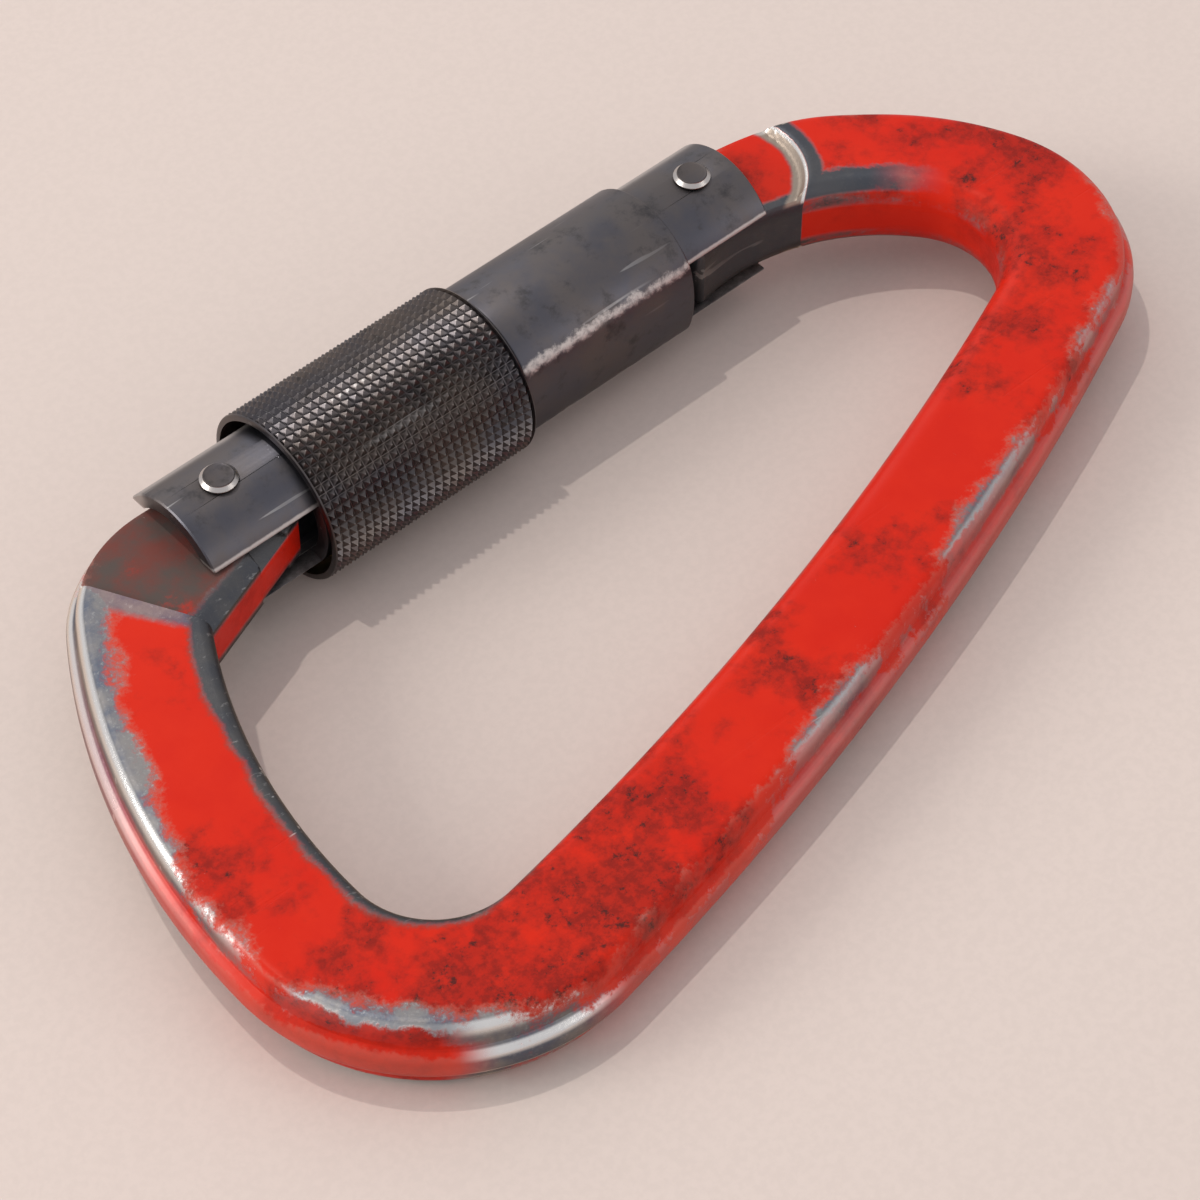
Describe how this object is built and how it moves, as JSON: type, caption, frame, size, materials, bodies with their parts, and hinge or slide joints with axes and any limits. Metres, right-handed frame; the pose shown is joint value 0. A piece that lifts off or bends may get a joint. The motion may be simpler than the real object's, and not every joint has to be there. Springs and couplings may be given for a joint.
{
  "type": "screw-gate locking carabiner",
  "caption": "Locking carabiner for keys: a worn red D-shaped metal body, a dark sprung gate and a knurled screw sleeve that locks it.",
  "frame": {"origin": "Middle of the part's bounding box, gate closed and sleeve unscrewed.", "axes": "+X runs along the gate from the latch to the hinge, +Y points from the heel to the gate, +Z is square to the body's flat faces."},
  "size_m": [0.1002, 0.0588, 0.0148],
  "materials": {
    "worn_red_paint": "worn glossy paint over bare metal",
    "dark_steel": "scuffed dark steel",
    "gunmetal": "knurled gunmetal",
    "pin_steel": "formed rivet heads",
    "zinc": "plain turned",
    "spring_steel": "plain drawn wire",
    "brass": "plain turned"
  },
  "bodies": {
    "frame": {"body_frame": "worn_red_paint"},
    "gate": {"gate_tube": "dark_steel", "hinge_rivet": "pin_steel", "latch_stud_upper": "pin_steel", "latch_stud_lower": "pin_steel", "spring_seat": "zinc"},
    "plunger": {"spring_plunger": "zinc", "return_spring": "spring_steel"},
    "carrier": {"friction_ring": "spring_steel"},
    "sleeve": {"lock_sleeve": "gunmetal", "thread_bush": "brass"}
  },
  "joints": [
    {"name": "gate_swing", "type": "hinge", "parent": "frame", "child": "gate", "pos_m": [0.023, 0.02202, 0], "axis": [0, 0, 1], "range_deg": [0, 28], "stiffness_Nm_per_rad": 0.3, "springref_deg": -17.19},
    {"name": "plunger_push", "type": "slide", "parent": "gate", "child": "plunger", "axis": [-1, 0, 0], "range_m": [0, 0.00116], "deforming": ["return_spring"]},
    {"name": "sleeve_travel", "type": "slide", "parent": "gate", "child": "carrier", "axis": [-1, 0, 0], "range_m": [0, 0.0055]},
    {"name": "sleeve_turn", "type": "hinge", "parent": "carrier", "child": "sleeve", "pos_m": [-0.01983, 0.02202, 0], "axis": [-1, 0, 0], "range_deg": [0, 720]}
  ],
  "couplings": [
    {"joint": "plunger_push", "follows": "gate_swing", "m_per_rad": 0.00236},
    {"joint": "sleeve_turn", "follows": "sleeve_travel", "rad_per_m": 2284.7}
  ]
}
